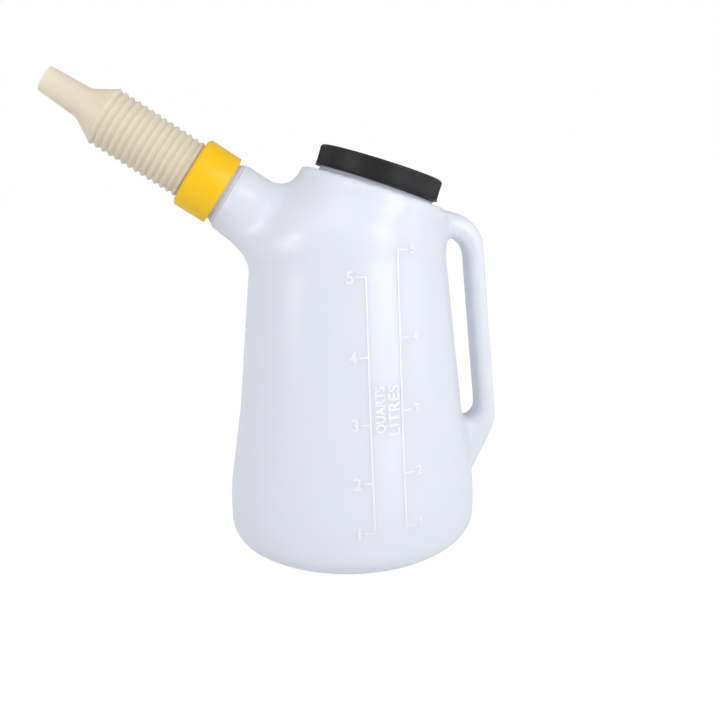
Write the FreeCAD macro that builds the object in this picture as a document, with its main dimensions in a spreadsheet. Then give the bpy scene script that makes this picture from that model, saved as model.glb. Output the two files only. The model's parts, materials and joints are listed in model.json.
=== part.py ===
"""Oil measuring jug: a blow-moulded jug with a hollow handle and a slanted screw-lidded mouth.

A ring nut holds a corrugated pouring spout on the jug's raised neck.
Millimetres. Origin on the ground at the jug's axis, +Z up, +X towards the handle, XZ the plane of symmetry.
"""

import FreeCAD, Part
import math
import os
import re
import Sketcher
from FreeCAD import Rotation, Vector

# Driving dimensions, in millimetres and degrees.
SIZES = {
    # Jug: every level section is an oval of four arcs, two round its ends and two along its sides.
    "wall": 2.0,
    "end_centre": 15.1,
    "side_centre": 11.0,
    "foot_radius": 84.0,
    "foot_height": 45.0,
    "foot_bend": 120.0,
    "waist_radius": 73.3,
    "waist_height": 110.0,
    "upper_radius": 59.9,
    "upper_height": 232.0,
    "base_round": 21.7,
    "push_up_radius": 55.0,
    "push_up_taper": 6.0,
    "push_up_depth": 3.0,
    # The section where the jug turns from level to the slant of its mouth, above the straight walls.
    "turn_x": 9.3,
    "turn_above": 28.7,
    "turn_tilt": 9.0,
    "turn_radius": 59.1,
    "turn_end_centre": 8.0,
    "turn_side_centre": 6.0,
    # Mouth: a round shoulder on a slant above the straight walls, with a neck for the lid.
    "mouth_tilt": 18.15,
    "mouth_x": 22.0,
    "mouth_above": 48.9,
    "shoulder_radius": 57.5,
    "shoulder_depth": 9.0,
    "shoulder_spread": 1.0,
    "shoulder_round": 4.0,
    "mouth_neck_radius": 43.6,
    "mouth_neck_height": 13.4,
    # Spout stub: a cylinder blended into the shoulder, then a ledge and a neck for the ring nut.
    "spout_rise": 34.1,
    "spout_reach": 13.6,
    "spout_above": 44.8,
    "spout_ledge": 2.7,
    "spout_root_depth": 76.0,
    "spout_top_blend": 15.0,
    "spout_under_blend": 45.0,
    "spout_neck_radius": 22.6,
    "spout_neck_length": 24.0,
    "spout_neck_cone": 2.7,
    # Handle.
    "handle_width": 24.0,
    "handle_reach": 29.6,
    "handle_above": 19.4,
    "handle_slope": 19.6,
    "handle_heel_z": 89.0,
    "handle_heel_slope": 64.0,
    "grip_lean": 5.35,
    "grip_thickness": 15.0,
    "bridge_thickness": 15.4,
    "gap_bottom_z": 96.0,
    "gap_bottom_slope": 18.0,
    "upper_root_dip": 13.0,
    "lower_root_dip": 8.4,
    "heel_root_z": 40.0,
    "knuckle_round": 30.0,
    "gap_top_round": 16.0,
    "gap_bottom_round": 10.0,
    "heel_round": 40.0,
    "handle_edge_round": 7.2,
    # Volume scale, raised on the front wall.
    "mark_relief": 0.45,
    "mark_line_width": 1.1,
    "litre_line_x": 25.7,
    "quart_line_x": 1.9,
    "mark_length": 7.0,
    # Lid.
    "lid_play": 1.8,
    "lid_lift": 1.6,
    "lid_skirt": 1.9,
    "lid_top": 2.0,
    "lid_edge_round": 1.6,
    "lid_bead_height": 1.3,
    "lid_bead_reach": 0.9,
    "rib_count": 144,
    "rib_depth": 0.55,
    "rib_gap": 0.4,
    "groove_share": 0.52,
    "liner_thickness": 1.5,
    "liner_play": 0.2,
    # Ring nut.
    "nut_play": 2.1,
    "nut_wall": 2.2,
    "nut_lift": 4.5,
    "nut_end_rise": 1.5,
    "nut_end_width": 3.0,
    "nut_hole_play": 0.4,
    "nut_flange": 2.7,
    # Corrugated spout.
    "hose_flange_play": 0.6,
    "hose_flange": 2.4,
    "hose_crest_inset": 0.5,
    "hose_wave_depth": 1.8,
    "hose_wall": 1.2,
    "hose_cuff": 4.0,
    "ring_pitch": 5.1,
    "crest_length": 2.0,
    "ring_count": 14,
    "nozzle_cone": 13.0,
    "nozzle_length": 30.0,
    "nozzle_root_radius": 11.5,
    "nozzle_tip_radius": 9.5,
    "seat_play": 0.25,
}

# What the scale reads: litres on one line, US quarts on the other.
UNITS = {"litre": 1.0e6, "quart": 0.946353e6}
READINGS = (1, 2, 3, 4, 5)
SLABS = 15

# Where pieces follow from others: a lid from its neck, a ring nut and a hose from theirs.
TURN_Z = "upper_height + turn_above"
MOUTH_Z = "upper_height + mouth_above"
SPOUT_X = "0 - end_centre - upper_radius - spout_reach"
SPOUT_Z = "upper_height + spout_above"
SPOUT_RADIUS = "( spout_neck_radius + spout_ledge )"
LID_RADIUS = "( mouth_neck_radius + lid_play + lid_skirt )"
NUT_RADIUS = "( spout_neck_radius + nut_play + nut_wall )"
HOSE_CREST = "( spout_neck_radius - hose_crest_inset )"
HOSE_ROOT = f"( {HOSE_CREST} - hose_wave_depth )"

doc = FreeCAD.newDocument("oil_measuring_jug")
sizes = doc.addObject("Spreadsheet::Sheet", "Sizes")


def put(row, alias, number):
    """One row of the sheet: a word and its number."""
    sizes.set(f"A{row}", alias)
    sizes.set(f"B{row}", str(number))
    sizes.setAlias(f"B{row}", alias)
    words.add(alias)


words = set()
for row, (alias, number) in enumerate(SIZES.items(), start=1):
    put(row, alias, number)
doc.recompute()


def value(expression):
    """The number that an expression of the sheet's words gives."""
    return float(sizes.evalExpression(expression))


def in_sheet(expression):
    """The expression as another object writes it, with the sheet's name before each of its words."""
    return re.sub(r"[a-z]\w+", lambda word: "Sizes." + word[0] if word[0] in words else word[0], expression)


def bind(thing, **expressions):
    """Ties properties to the sheet. A double underscore in a name stands for a dot."""
    for name, expression in expressions.items():
        thing.setExpression(name.replace("__", "."), in_sheet(expression))
    return thing


def along_mouth(distance):
    """Where a point on the mouth's axis lies, a distance above the shoulder."""
    return {
        "Placement__Base__x": f"mouth_x + sin( mouth_tilt * 1deg ) * ( {distance} )",
        "Placement__Base__z": f"{MOUTH_Z} + cos( mouth_tilt * 1deg ) * ( {distance} )",
    }


def along_spout(distance):
    """Where a point on the spout's axis lies, a distance beyond the stub's shoulder."""
    return {
        "Placement__Base__x": f"{SPOUT_X} - cos( spout_rise * 1deg ) * ( {distance} )",
        "Placement__Base__z": f"{SPOUT_Z} + sin( spout_rise * 1deg ) * ( {distance} )",
    }


def stand_on_mouth(thing, distance):
    """Puts a piece on the mouth's axis, its own Z along it."""
    thing.Placement.Rotation = Rotation(Vector(0, 1, 0), 1)
    return bind(thing, Placement__Rotation__Angle="mouth_tilt * 1deg", **along_mouth(distance))


def stand_on_spout(thing, distance):
    """Puts a piece on the spout's axis, its own Z along it."""
    thing.Placement.Rotation = Rotation(Vector(0, 1, 0), -1)
    return bind(thing, Placement__Rotation__Angle="( spout_rise - 90 ) * 1deg", **along_spout(distance))


def cylinder(name, radius, height):
    return bind(doc.addObject("Part::Cylinder", name), Radius=radius, Height=height)


def oval(name, radius, end_centre="end_centre", side_centre="side_centre"):
    """An oval of four arcs, from the radius of its ends and how far its arcs' centres lie from its own."""
    end_reach, side_reach, end_radius = value(end_centre), value(side_centre), value(radius)
    side_radius = end_radius + math.hypot(end_reach, side_reach)
    joint = math.atan2(side_reach, end_reach)
    sketch = doc.addObject("Sketcher::SketchObject", name)
    for across, up, bow, start, finish in (
        (end_reach, 0, end_radius, -joint, joint),
        (0, -side_reach, side_radius, joint, math.pi - joint),
        (-end_reach, 0, end_radius, math.pi - joint, math.pi + joint),
        (0, side_reach, side_radius, math.pi + joint, 2 * math.pi - joint),
    ):
        circle = Part.Circle(Vector(across, up, 0), Vector(0, 0, 1), bow)
        sketch.addGeometry(Part.ArcOfCircle(circle, start, finish))
    for number in range(4):
        sketch.addConstraint(Sketcher.Constraint("Tangent", number, 2, (number + 1) % 4, 1))
    sketch.addConstraint(Sketcher.Constraint("PointOnObject", 0, 3, -1))
    sketch.addConstraint(Sketcher.Constraint("PointOnObject", 2, 3, -1))
    sketch.addConstraint(Sketcher.Constraint("Equal", 0, 2))
    for expression, parts in (
        (end_centre, ("DistanceX", -1, 1, 0, 3)),
        (end_centre, ("DistanceX", 2, 3, -1, 1)),
        (side_centre, ("DistanceY", 1, 3, -1, 1)),
        (side_centre, ("DistanceY", -1, 1, 3, 3)),
        (radius, ("Radius", 0)),
    ):
        index = sketch.addConstraint(Sketcher.Constraint(*parts, value(expression)))
        sketch.setExpression(f"Constraints[{index}]", in_sheet(expression))
    return sketch


def level_oval(name, radius, height):
    return bind(oval(name, radius), Placement__Base__z=height)


def turning_oval(name, inset):
    """The section between the level ones and the mouth's, tipped part of the way."""
    section = oval(name, f"turn_radius - ( {inset} )", "turn_end_centre", "turn_side_centre")
    section.Placement.Rotation = Rotation(Vector(0, 1, 0), 1)
    return bind(
        section,
        Placement__Base__x="turn_x",
        Placement__Base__z=TURN_Z,
        Placement__Rotation__Angle="turn_tilt * 1deg",
    )


def mouth_ring(name, radius, distance):
    """A round section square to the mouth's axis, its seam on the spout's side."""
    ring = doc.addObject("Part::Circle", name)
    ring.Placement.Rotation = Rotation(Vector(0.1, 0, 1), 180)
    return bind(
        ring,
        Radius=radius,
        Placement__Rotation__Axis__x="sin( mouth_tilt * 0.5deg )",
        Placement__Rotation__Axis__z="cos( mouth_tilt * 0.5deg )",
        **along_mouth(distance),
    )


def loft(name, sections, ruled):
    solid = doc.addObject("Part::Loft", name)
    solid.Sections = sections
    solid.Solid = True
    solid.Ruled = ruled
    solid.MaxDegree = 3
    return solid


def jug_form(name, inset, floor, ceiling):
    """The jug's plain body, drawn in by an inset: straight walls, then a curved shoulder."""
    foot = f"foot_radius - ( {inset} )"
    waist = f"waist_radius - ( {inset} )"
    upper = f"upper_radius - ( {inset} )"
    rim = f"shoulder_radius - ( {inset} )"
    walls = [
        level_oval(name + "_base", foot, floor),
        level_oval(name + "_foot", foot, "foot_height"),
        level_oval(name + "_waist", waist, "waist_height"),
        level_oval(name + "_upper", upper, "upper_height"),
    ]
    shoulder = [
        level_oval(name + "_shoulder_foot", upper, "upper_height"),
        turning_oval(name + "_turn", inset),
        mouth_ring(name + "_neck", f"{rim} + shoulder_spread", "0 - shoulder_depth"),
        mouth_ring(name + "_rim", rim, ceiling),
    ]
    doc.recompute()
    return join(name, loft(name + "_walls", walls, True), loft(name + "_shoulder", shoulder, False))


def join(name, *shapes):
    fusion = doc.addObject("Part::MultiFuse", name)
    fusion.Shapes = list(shapes)
    fusion.Refine = False
    doc.recompute()
    return fusion


def cut(name, base, tool):
    result = doc.addObject("Part::Cut", name)
    result.Base = base
    result.Tool = tool
    doc.recompute()
    return result


def lies_on(edge, shells):
    """True where an edge's inner points lie on every one of the shells."""
    span = edge.LastParameter - edge.FirstParameter
    points = [edge.valueAt(edge.FirstParameter + share * span) for share in (0.25, 0.5, 0.75)]
    return all(Part.Vertex(p).distToShape(shell)[0] < 1e-3 for p in points for shell in shells)


def graded(loop, low_radius, high_radius):
    """Radii for a closed loop of edges, from one radius at its lowest point to another at its highest.

    They are given in the order in which the loop is walked, which starts along its first edge.
    """
    low = min(vertex.Z for _, edge in loop for vertex in edge.Vertexes)
    high = max(vertex.Z for _, edge in loop for vertex in edge.Vertexes)

    def radius(point):
        return low_radius + (high_radius - low_radius) * (point.z - low) / (high - low)

    number, edge = loop[0]
    here = edge.valueAt(edge.LastParameter)
    walked = [(number, radius(edge.valueAt(edge.FirstParameter)), radius(here))]
    left = list(loop[1:])
    while left:
        number, edge = min(left, key=lambda pair: Part.Vertex(here).distToShape(pair[1])[0])
        left.remove((number, edge))
        far = max((v.Point for v in edge.Vertexes), key=lambda point: point.distanceToPoint(here))
        walked.append((number, radius(here), radius(far)))
        here = far
    return walked


def edges_on(shape, point, normal):
    """Numbers of a shape's edges that lie in a plane."""
    found = []
    for number, edge in enumerate(shape.Edges, start=1):
        span = edge.LastParameter - edge.FirstParameter
        points = [edge.valueAt(edge.FirstParameter + share * span) for share in (0, 0.25, 0.5, 0.75)]
        if all(abs((p - point).dot(normal)) < 1e-3 for p in points):
            found.append(number)
    return found


def rounded(name, base, edges):
    """Rounds edges of a shape: a list of edge number, first radius and last radius."""
    fillet = doc.addObject("Part::Fillet", name)
    fillet.Base = base
    fillet.Edges = edges
    doc.recompute()
    return fillet


def blended_form(name, inset, floor, ceiling, softened):
    """The jug's body with some of its edges rounded and the spout stub blended in."""
    form = jug_form(name + "_form", inset, floor, ceiling)
    wall = value(inset)
    upright = Vector(0, 0, 1)
    mouth_axis = Vector(value("sin( mouth_tilt * 1deg )"), 0, value("cos( mouth_tilt * 1deg )"))
    rim = Vector(value("mouth_x"), 0, value(MOUTH_Z)) + mouth_axis * value(ceiling)
    rings = {
        "base_round": (Vector(0, 0, value(floor)), upright),
        "foot_bend": (Vector(0, 0, value("foot_height")), upright),
        "shoulder_round": (rim, mouth_axis),
    }
    edges = []
    for word in softened:
        radius = value(word) - wall
        edges += [(number, radius, radius) for number in edges_on(form.Shape, *rings[word])]
    round_form = rounded(name + "_round", form, edges)
    stub = cylinder(name + "_stub", f"{SPOUT_RADIUS} - ( {inset} )", f"spout_root_depth - ( {inset} )")
    stand_on_spout(stub, "0 - spout_root_depth")
    whole = join(name + "_whole", round_form, stub)
    seam = [
        (number, edge)
        for number, edge in enumerate(whole.Shape.Edges, start=1)
        if lies_on(edge, (round_form.Shape.Shells[0], stub.Shape.Faces[0]))
    ]
    under, top = value("spout_under_blend") + wall, value("spout_top_blend") + wall
    return rounded(name, whole, graded(seam, under, top))


def flat_outline(name, corners, body=None, plane="XZ_Plane"):
    """A closed polygon whose corners are tied to the sheet, two expressions to a corner."""
    if body is None:
        sketch = doc.addObject("Sketcher::SketchObject", name)
        sketch.Placement.Rotation = Rotation(Vector(1, 0, 0), 90)
    else:
        sketch = body.newObject("Sketcher::SketchObject", name)
        planes = [feature for feature in body.Origin.OriginFeatures if feature.Role == plane]
        sketch.AttachmentSupport = (planes[0], [""])
        sketch.MapMode = "FlatFace"
    points = [Vector(value(across), value(up), 0) for across, up in corners]
    for number, point in enumerate(points):
        sketch.addGeometry(Part.LineSegment(point, points[(number + 1) % len(points)]))
    for number, (across, up) in enumerate(corners):
        before = (number - 1) % len(points)
        sketch.addConstraint(Sketcher.Constraint("Coincident", before, 2, number, 1))
        for kind, expression, axis in (("DistanceX", across, -2), ("DistanceY", up, -1)):
            if expression == "0":
                sketch.addConstraint(Sketcher.Constraint("PointOnObject", number, 1, axis))
            else:
                index = sketch.addConstraint(Sketcher.Constraint(kind, -1, 1, number, 1, value(expression)))
                sketch.setExpression(f"Constraints[{index}]", in_sheet(expression))
    doc.recompute()
    return sketch


def turned(body, name, corners, kind="PartDesign::Revolution"):
    """A polygon of radius and height, turned about the body's own Z."""
    profile = flat_outline(name + "_profile", corners, body)
    feature = body.newObject(kind, name)
    feature.Profile = profile
    feature.ReferenceAxis = (profile, ["V_Axis"])
    feature.Angle = 360
    doc.recompute()
    return feature


def handle_bar(name, outline, inset):
    """The handle as a bent bar: an outline given a width, its bends and then its long edges rounded."""
    bar = doc.addObject("Part::Extrusion", name + "_slab")
    bar.Base = outline
    bar.DirMode = "Normal"
    bar.Solid = True
    bar.Symmetric = True
    bind(bar, LengthFwd=f"handle_width - 2 * ( {inset} )")
    doc.recompute()
    wall = value(inset)
    bends = {
        "knuckle_round": (value(TOP_X), value(TOP_Z), -wall),
        "gap_top_round": (value(GAP_TOP_X), value(GAP_TOP_Z), wall),
        "gap_bottom_round": (value(GAP_BOTTOM_X), value("gap_bottom_z"), wall),
        "heel_round": (value(HEEL_X), value("handle_heel_z"), -wall),
    }
    across = [
        (number, edge)
        for number, edge in enumerate(bar.Shape.Edges, start=1)
        if edge.BoundBox.YLength > value("handle_width") / 2
    ]
    edges = []
    for word, (x, z, change) in bends.items():
        corner = Vector(x, 0, z)
        number, _ = min(across, key=lambda pair: (pair[1].CenterOfMass - corner).Length)
        edges.append((number, value(word) + change, value(word) + change))
    bent = rounded(name + "_bent", bar, edges)
    side = value("handle_width") / 2 - wall
    edge_round = value("handle_edge_round") - wall
    long_edges = []
    for number, edge in enumerate(bent.Shape.Edges, start=1):
        middle = edge.CenterOfMass
        if edge.BoundBox.YLength < 1e-3 and abs(abs(middle.y) - side) < 1e-3 and not ends_inside(edge):
            long_edges.append((number, edge_round, edge_round))
    return rounded(name, bent, long_edges)


def ends_inside(edge):
    """True for the two edges that close the handle's outline inside the jug."""
    low, high = edge.BoundBox.ZMin, edge.BoundBox.ZMax
    if len(edge.Vertexes) < 2 or edge.Curve.TypeId != "Part::GeomLine":
        return False
    upper = edge.BoundBox.XLength < 1e-3
    lower = high < value("gap_bottom_z") and low < value("heel_root_z") + 2 * value("wall") + 1
    return upper or (lower and edge.BoundBox.XMax < value(HEEL_ROOT_X) + 1)


# The handle's corners before rounding: the outer line, then the line of the finger gap.
TOP_X = "( end_centre + upper_radius + handle_reach )"
TOP_Z = "( upper_height + handle_above )"
HEEL_X = f"{TOP_X} + ( {TOP_Z} - handle_heel_z ) * tan( grip_lean * 1deg )"
HEEL_ROOT_X = f"{HEEL_X} - ( handle_heel_z - heel_root_z ) / tan( handle_heel_slope * 1deg )"
GRIP_IN = "grip_thickness / cos( grip_lean * 1deg )"
GAP_TOP_X = f"{TOP_X} + bridge_thickness * tan( grip_lean * 1deg ) - {GRIP_IN}"
GAP_TOP_Z = f"{TOP_Z} - bridge_thickness"
GAP_BOTTOM_X = f"{TOP_X} + ( {TOP_Z} - gap_bottom_z ) * tan( grip_lean * 1deg ) - {GRIP_IN}"
UPPER_ROOT_X = "( end_centre + upper_radius - upper_root_dip )"
LOWER_ROOT_X = "( end_centre + waist_radius - lower_root_dip )"
HANDLE = [
    (UPPER_ROOT_X, f"{TOP_Z} + ( {TOP_X} - {UPPER_ROOT_X} ) * tan( handle_slope * 1deg )"),
    (TOP_X, TOP_Z),
    (HEEL_X, "handle_heel_z"),
    (HEEL_ROOT_X, "heel_root_z"),
    (LOWER_ROOT_X, f"gap_bottom_z - ( {GAP_BOTTOM_X} - {LOWER_ROOT_X} ) * tan( gap_bottom_slope * 1deg )"),
    (GAP_BOTTOM_X, "gap_bottom_z"),
    (GAP_TOP_X, GAP_TOP_Z),
    (UPPER_ROOT_X, f"{GAP_TOP_Z} + ( {GAP_TOP_X} - {UPPER_ROOT_X} ) * tan( handle_slope * 1deg )"),
]


def fill_heights(cavity, volumes):
    """The height at which the cavity holds each volume, summed up slab by slab."""
    box = cavity.BoundBox
    slab = box.ZLength / SLABS
    level = box.ZMin
    held = 0.0
    found = []
    left = sorted(volumes)
    while left and level < box.ZMax:
        corner = Vector(box.XMin, box.YMin, level)
        added = Part.makeBox(box.XLength, box.YLength, slab, corner).common(cavity).Volume
        while left and left[0] <= held + added:
            found.append(level + slab * (left.pop(0) - held) / added)
        held += added
        level += slab
    return found


# --- jug_body -----------------------------------------------------------------------------------

jug_outside = blended_form("jug_outside", "0", "0", "0", ("base_round", "foot_bend", "shoulder_round"))
jug_inside = blended_form("jug_inside", "wall", "wall", "0 - wall", ("base_round",))

handle_outline = flat_outline("handle_outline", HANDLE)
handle = handle_bar("handle", handle_outline, "0")
core_outline = doc.addObject("Part::Offset2D", "handle_core_outline")
core_outline.Source = handle_outline
core_outline.Join = "Intersection"
bind(core_outline, Value="0 - wall")
handle_core = handle_bar("handle_core", core_outline, "wall")

# The necks stand on the shoulder and on the stub; their bores run down into the cavity.
mouth_neck = stand_on_mouth(cylinder("mouth_neck", "mouth_neck_radius", "mouth_neck_height"), "0")
BORE_DIP = "2 * wall"
mouth_bore = cylinder("mouth_bore", "mouth_neck_radius - wall", f"mouth_neck_height + 2 * {BORE_DIP}")
stand_on_mouth(mouth_bore, f"0 - {BORE_DIP}")
spout_neck = stand_on_spout(cylinder("spout_neck", "spout_neck_radius", "spout_neck_length"), "0")
spout_cone = doc.addObject("Part::Cone", "spout_cone")
bind(spout_cone, Radius1=SPOUT_RADIUS, Radius2="spout_neck_radius", Height="spout_neck_cone")
stand_on_spout(spout_cone, "0")
spout_bore = cylinder("spout_bore", "spout_neck_radius - wall", f"spout_neck_length + 2 * {BORE_DIP}")
stand_on_spout(spout_bore, f"0 - {BORE_DIP}")


def push_up(name, rise, spread):
    """The hollow pressed up into the base, as a low tapered plug."""
    low = level_oval(name + "_low", f"push_up_radius + {spread}", "0 - wall")
    high = level_oval(name + "_high", f"push_up_radius + {spread} - push_up_taper", rise)
    doc.recompute()
    return loft(name, [low, high], True)


base_hollow = push_up("base_hollow", "push_up_depth", "0")
floor_hump = push_up("floor_hump", "push_up_depth + wall", "wall")
cavity = cut("cavity", join("cavity_whole", jug_inside, handle_core, mouth_bore, spout_bore), floor_hump)

# The scale: a line and its marks for each unit, raised from the wall where the jug holds that much.
volumes = {f"{unit}_level_{count}": volume * count for unit, volume in UNITS.items() for count in READINGS}
levels = sorted(volumes, key=volumes.get)
heights = fill_heights(cavity.Shape, sorted(volumes.values()))
for row, (level, height) in enumerate(zip(levels, heights), start=len(SIZES) + 1):
    put(row, level, round(height, 3))
doc.recompute()
FRONT = "end_centre + foot_radius"
scale_bars = []
for unit, shift in (("litre", "litre_line_x"), ("quart", "quart_line_x - mark_length")):
    marked = [level for level in levels[: len(heights)] if level.startswith(unit)]
    for level in marked:
        mark = doc.addObject("Part::Box", level.replace("level", "mark"))
        bind(mark, Length="mark_length", Width=FRONT, Height="mark_line_width")
        bind(mark, Placement__Base__x=shift, Placement__Base__y=f"0 - ( {FRONT} )")
        bind(mark, Placement__Base__z=f"{level} - mark_line_width / 2")
        scale_bars.append(mark)
    line = doc.addObject("Part::Box", f"{unit}_line")
    bind(line, Length="mark_line_width", Width=FRONT, Height=f"{marked[-1]} - {marked[0]}")
    bind(line, Placement__Base__x=f"{unit}_line_x - mark_line_width / 2")
    bind(line, Placement__Base__y=f"0 - ( {FRONT} )")
    bind(line, Placement__Base__z=marked[0])
    scale_bars.append(line)
bars = join("scale_bars", *scale_bars)
relief = jug_form("scale_relief", "0 - mark_relief", "0", "0")
doc.recompute()
scale = doc.addObject("Part::Common", "scale")
scale.Base = relief
scale.Tool = bars
doc.recompute()

with_handle = join("jug_with_handle", jug_outside, handle, mouth_neck, spout_neck, spout_cone, scale)
hollow_base = cut("jug_with_hollow_base", with_handle, base_hollow)
jug_body = cut("jug_body", hollow_base, cavity)


def new_body(name):
    return doc.addObject("PartDesign::Body", name)


# --- mouth_lid: a moulded screw lid, its skirt ribbed for grip, a thin bead round its lower edge ----

LID_CEILING = "mouth_neck_height - lid_lift + seat_play + liner_thickness + liner_play"
LID_HEIGHT = f"{LID_CEILING} + lid_top"
mouth_lid = new_body("mouth_lid")
lid_cup = turned(
    mouth_lid,
    "lid_cup",
    [
        (f"{LID_RADIUS} - lid_skirt", "0"),
        (f"{LID_RADIUS} + lid_bead_reach", "0"),
        (f"{LID_RADIUS} + lid_bead_reach", "lid_bead_height"),
        (LID_RADIUS, "lid_bead_height"),
        (LID_RADIUS, LID_HEIGHT),
        ("0", LID_HEIGHT),
        ("0", LID_CEILING),
        (f"{LID_RADIUS} - lid_skirt", LID_CEILING),
    ],
)
lid_edge = mouth_lid.newObject("PartDesign::Fillet", "lid_edge")
lid_edge.Base = (
    lid_cup,
    [
        f"Edge{number}"
        for number, edge in enumerate(lid_cup.Shape.Edges, start=1)
        if edge.BoundBox.ZMin > value(LID_HEIGHT) - 0.01 and edge.BoundBox.XLength > value(LID_RADIUS)
    ],
)
bind(lid_edge, Radius="lid_edge_round")
mouth_lid.Tip = lid_edge
doc.recompute()

# One groove between two ribs, repeated round the skirt.
GROOVE_HALF = f"groove_share * {LID_RADIUS} * pi / rib_count"
groove_outline = flat_outline(
    "groove_outline",
    [
        (f"{LID_RADIUS} - rib_depth", "0"),
        (f"{LID_RADIUS} + rib_depth", f"{GROOVE_HALF} * 2"),
        (f"{LID_RADIUS} + rib_depth", f"0 - {GROOVE_HALF} * 2"),
    ],
    mouth_lid,
    "XY_Plane",
)
groove = mouth_lid.newObject("PartDesign::Pocket", "rib_groove")
groove.Profile = groove_outline
groove.Reversed = True
bind(groove, Length=f"{LID_HEIGHT} - lid_edge_round - lid_bead_height - rib_gap")
bind(groove_outline, AttachmentOffset__Base__z="lid_bead_height")
doc.recompute()
ribs = mouth_lid.newObject("PartDesign::PolarPattern", "ribs")
ribs.Originals = [groove]
ribs.Axis = (groove_outline, ["N_Axis"])
ribs.Angle = 360
bind(ribs, Occurrences="rib_count")
mouth_lid.Tip = ribs
doc.recompute()
stand_on_mouth(mouth_lid, "lid_lift")

# --- lid_liner: the soft disc that seals the lid on the mouth's rim ---------------------------------

LINER_SEAT = "mouth_neck_height - lid_lift + seat_play"
lid_liner = new_body("lid_liner")
turned(
    lid_liner,
    "liner_disc",
    [
        ("0", LINER_SEAT),
        ("mouth_neck_radius", LINER_SEAT),
        ("mouth_neck_radius", f"{LINER_SEAT} + liner_thickness"),
        ("0", f"{LINER_SEAT} + liner_thickness"),
    ],
)
stand_on_mouth(lid_liner, "lid_lift")

# --- spout_collar: the ring nut that holds the pouring spout on the neck ------------------------------

NUT_CEILING = "spout_neck_length + hose_flange + 2 * seat_play - nut_lift"
spout_collar = new_body("spout_collar")
turned(
    spout_collar,
    "nut_ring",
    [
        (f"{NUT_RADIUS} - nut_wall", "0"),
        (NUT_RADIUS, "0"),
        (NUT_RADIUS, f"{NUT_CEILING} + nut_flange"),
        (f"{NUT_RADIUS} - nut_end_width", f"{NUT_CEILING} + nut_flange + nut_end_rise"),
        (f"{HOSE_CREST} + nut_hole_play", f"{NUT_CEILING} + nut_flange + nut_end_rise"),
        (f"{HOSE_CREST} + nut_hole_play", NUT_CEILING),
        (f"{NUT_RADIUS} - nut_wall", NUT_CEILING),
    ],
)
stand_on_spout(spout_collar, "nut_lift")

# --- flexible_spout: one blown piece, a flange, a cuff, a corrugated hose and a tapered nozzle ----------

flexible_spout = new_body("flexible_spout")
FLANGE_RADIUS = "spout_neck_radius + nut_play - hose_flange_play"
CUFF_END = "hose_flange + hose_cuff"
CREST_START = f"{CUFF_END} + ( ring_pitch - crest_length ) / 2"
ring = turned(
    flexible_spout,
    "hose_ring",
    [
        (HOSE_ROOT, CUFF_END),
        (HOSE_CREST, CREST_START),
        (HOSE_CREST, f"{CREST_START} + crest_length"),
        (HOSE_ROOT, f"{CUFF_END} + ring_pitch"),
        (f"{HOSE_ROOT} - hose_wall", f"{CUFF_END} + ring_pitch"),
        (f"{HOSE_ROOT} - hose_wall", CUFF_END),
    ],
)
rings = flexible_spout.newObject("PartDesign::LinearPattern", "hose_rings")
rings.Originals = [ring]
rings.Direction = (ring.Profile[0], ["V_Axis"])
bind(rings, Length="ring_pitch * ( ring_count - 1 )", Occurrences="ring_count")
flexible_spout.Tip = rings
doc.recompute()
turned(
    flexible_spout,
    "hose_flange_and_cuff",
    [
        (f"{HOSE_ROOT} - hose_wall", "0"),
        (FLANGE_RADIUS, "0"),
        (FLANGE_RADIUS, "hose_flange"),
        (HOSE_ROOT, "hose_flange"),
        (HOSE_ROOT, CUFF_END),
        (f"{HOSE_ROOT} - hose_wall", CUFF_END),
    ],
)
HOSE_END = f"{CUFF_END} + ring_pitch * ring_count"
nozzle_outside = [
    (HOSE_ROOT, HOSE_END),
    ("nozzle_root_radius", f"{HOSE_END} + nozzle_cone"),
    ("nozzle_tip_radius", f"{HOSE_END} + nozzle_cone + nozzle_length"),
]
turned(
    flexible_spout,
    "nozzle",
    nozzle_outside + [(f"{radius} - hose_wall", height) for radius, height in reversed(nozzle_outside)],
)
stand_on_spout(flexible_spout, "spout_neck_length + seat_play")

# --- check and write ------------------------------------------------------------------------------------

doc.recompute()
for thing in doc.Objects:
    if "Invalid" in thing.State or "Error" in thing.State:
        raise RuntimeError(f"{thing.Name} failed: {thing.State}")
os.makedirs("parts", exist_ok=True)
for node in (jug_body, mouth_lid, lid_liner, spout_collar, flexible_spout):
    node.Label = node.Name
    if node.Shape.isNull() or not node.Shape.isValid():
        raise RuntimeError(f"{node.Name} has no valid shape")
for node in (jug_body, mouth_lid, lid_liner, spout_collar, flexible_spout):
    node.Shape.exportStep(f"parts/{node.Name}.step")
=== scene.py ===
import json
from math import cos, pi, radians, sin

import bmesh
import bpy
import numpy as np
from mathutils import Matrix, Quaternion, Vector
from mathutils.bvhtree import BVHTree


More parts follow.
